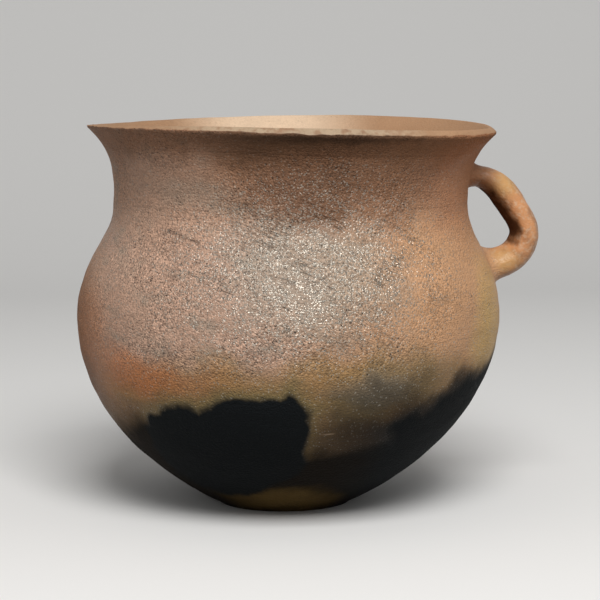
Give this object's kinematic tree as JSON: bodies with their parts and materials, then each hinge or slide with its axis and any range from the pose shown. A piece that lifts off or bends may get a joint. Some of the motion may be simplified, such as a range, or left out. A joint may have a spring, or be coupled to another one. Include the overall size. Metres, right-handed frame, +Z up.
{
  "type": "clay olla",
  "caption": "Round-bellied clay cooking pot with a drawn-in neck, a flared rim, a small flat to rest on and one loop handle from neck to shoulder.",
  "frame": {"origin": "middle of the flat that the olla rests on", "axes": "+Z up through the mouth, +X towards the handle"},
  "size_m": [0.1851, 0.168, 0.1516],
  "materials": {
    "micaceous_clay": "unglazed orange-brown clay with a wiped mica slip that glitters, and black fire clouds low on the belly",
    "handle_clay": "the same clay, smoothed by hand, a little lighter and redder"
  },
  "bodies": {
    "root": {"base_pat": "micaceous_clay", "lower_wall_coil_1": "micaceous_clay", "lower_wall_coil_2": "micaceous_clay", "belly_coil": "micaceous_clay", "upper_belly_coil": "micaceous_clay", "shoulder_coil": "micaceous_clay", "neck_base_coil": "micaceous_clay", "neck_coil": "micaceous_clay", "rim_coil": "micaceous_clay", "handle_rope": "handle_clay", "upper_handle_lute": "handle_clay", "lower_handle_lute": "handle_clay"}
  },
  "joints": []
}
